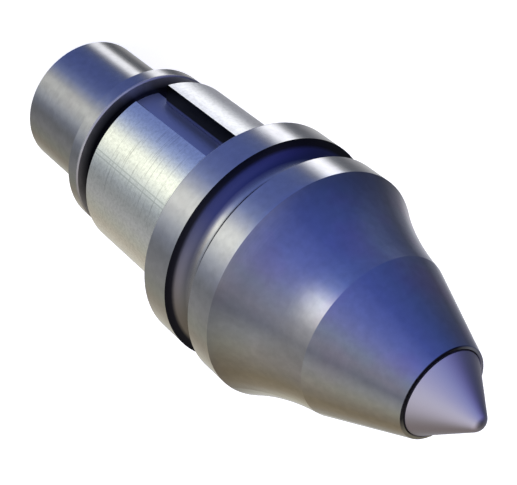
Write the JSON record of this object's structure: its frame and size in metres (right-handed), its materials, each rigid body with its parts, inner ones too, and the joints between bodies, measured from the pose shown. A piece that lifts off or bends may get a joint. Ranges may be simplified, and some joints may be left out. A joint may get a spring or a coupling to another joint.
{
  "type": "road milling pick",
  "caption": "Round-shank rotary cutting tool: turned steel body with retaining ring, collar, puller groove and tapered head, brazed carbide tip, and a split clamping sleeve on the shank.",
  "frame": {"origin": "centre of the flat rear end face of the shank", "axes": "+Z along the tool's axis, from the rear end to the carbide tip; the sleeve's slot faces 31 degrees from -Y towards -X"},
  "size_m": [0.038, 0.038, 0.0994],
  "materials": {
    "turned_steel": "polished turned",
    "braze": "dark oxidised",
    "carbide": "satin sintered",
    "sleeve_steel": "fine turned"
  },
  "bodies": {
    "pick": {"pick_body": "turned_steel", "braze_layer": "braze", "carbide_tip": "carbide"},
    "sleeve": {"clamping_sleeve": "sleeve_steel"}
  },
  "joints": [
    {"name": "sleeve_spin", "type": "hinge", "parent": "pick", "child": "sleeve", "pos_m": [0, 0, 0.0361], "axis": [0, 0, 1], "continuous": true}
  ]
}
